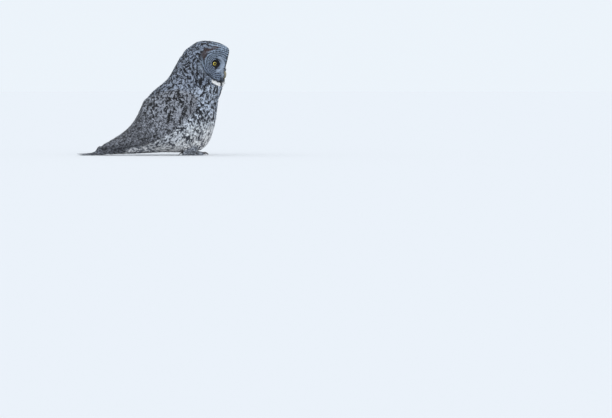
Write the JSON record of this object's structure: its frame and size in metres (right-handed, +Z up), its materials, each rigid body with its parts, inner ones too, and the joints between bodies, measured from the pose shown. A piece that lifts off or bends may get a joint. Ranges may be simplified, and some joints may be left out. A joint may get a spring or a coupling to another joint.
{
  "type": "great grey owl",
  "caption": "Life-size great grey owl standing with folded wings, its head turned to its right and its tail laid on the floor.",
  "frame": {"origin": "on the floor, under the middle of the whole owl", "axes": "+X to the owl's left, +Y from the breast to the tail, +Z up; the breast faces -Y"},
  "size_m": [0.2316, 0.609, 0.4589],
  "materials": {
    "plumage": "soft mottled grey feathers",
    "plumage_pale": "soft pale feathers",
    "flight_feather": "smooth barred dark feathers",
    "face": "short dense feathers in fine rings",
    "eye": "wet and glossy, yellow iris and black pupil",
    "bill": "satin horn",
    "claw": "satin dark horn"
  },
  "bodies": {
    "root": {"head": "plumage", "facial_disc": "face", "neck": "plumage", "trunk": "plumage", "tail": "flight_feather", "undertail_coverts": "plumage_pale", "bill_upper": "bill", "bill_lower": "bill", "eye_left": "eye", "eye_right": "eye", "wing_coverts_left": "plumage", "secondaries_left": "flight_feather", "primaries_left": "flight_feather", "leg_left": "plumage_pale", "foot_left": "plumage_pale", "claw_left_inner": "claw", "claw_left_middle": "claw", "claw_left_outer": "claw", "claw_left_hind": "claw", "wing_coverts_right": "plumage", "secondaries_right": "flight_feather", "primaries_right": "flight_feather", "leg_right": "plumage_pale", "foot_right": "plumage_pale", "claw_right_inner": "claw", "claw_right_middle": "claw", "claw_right_outer": "claw", "claw_right_hind": "claw"}
  },
  "joints": []
}
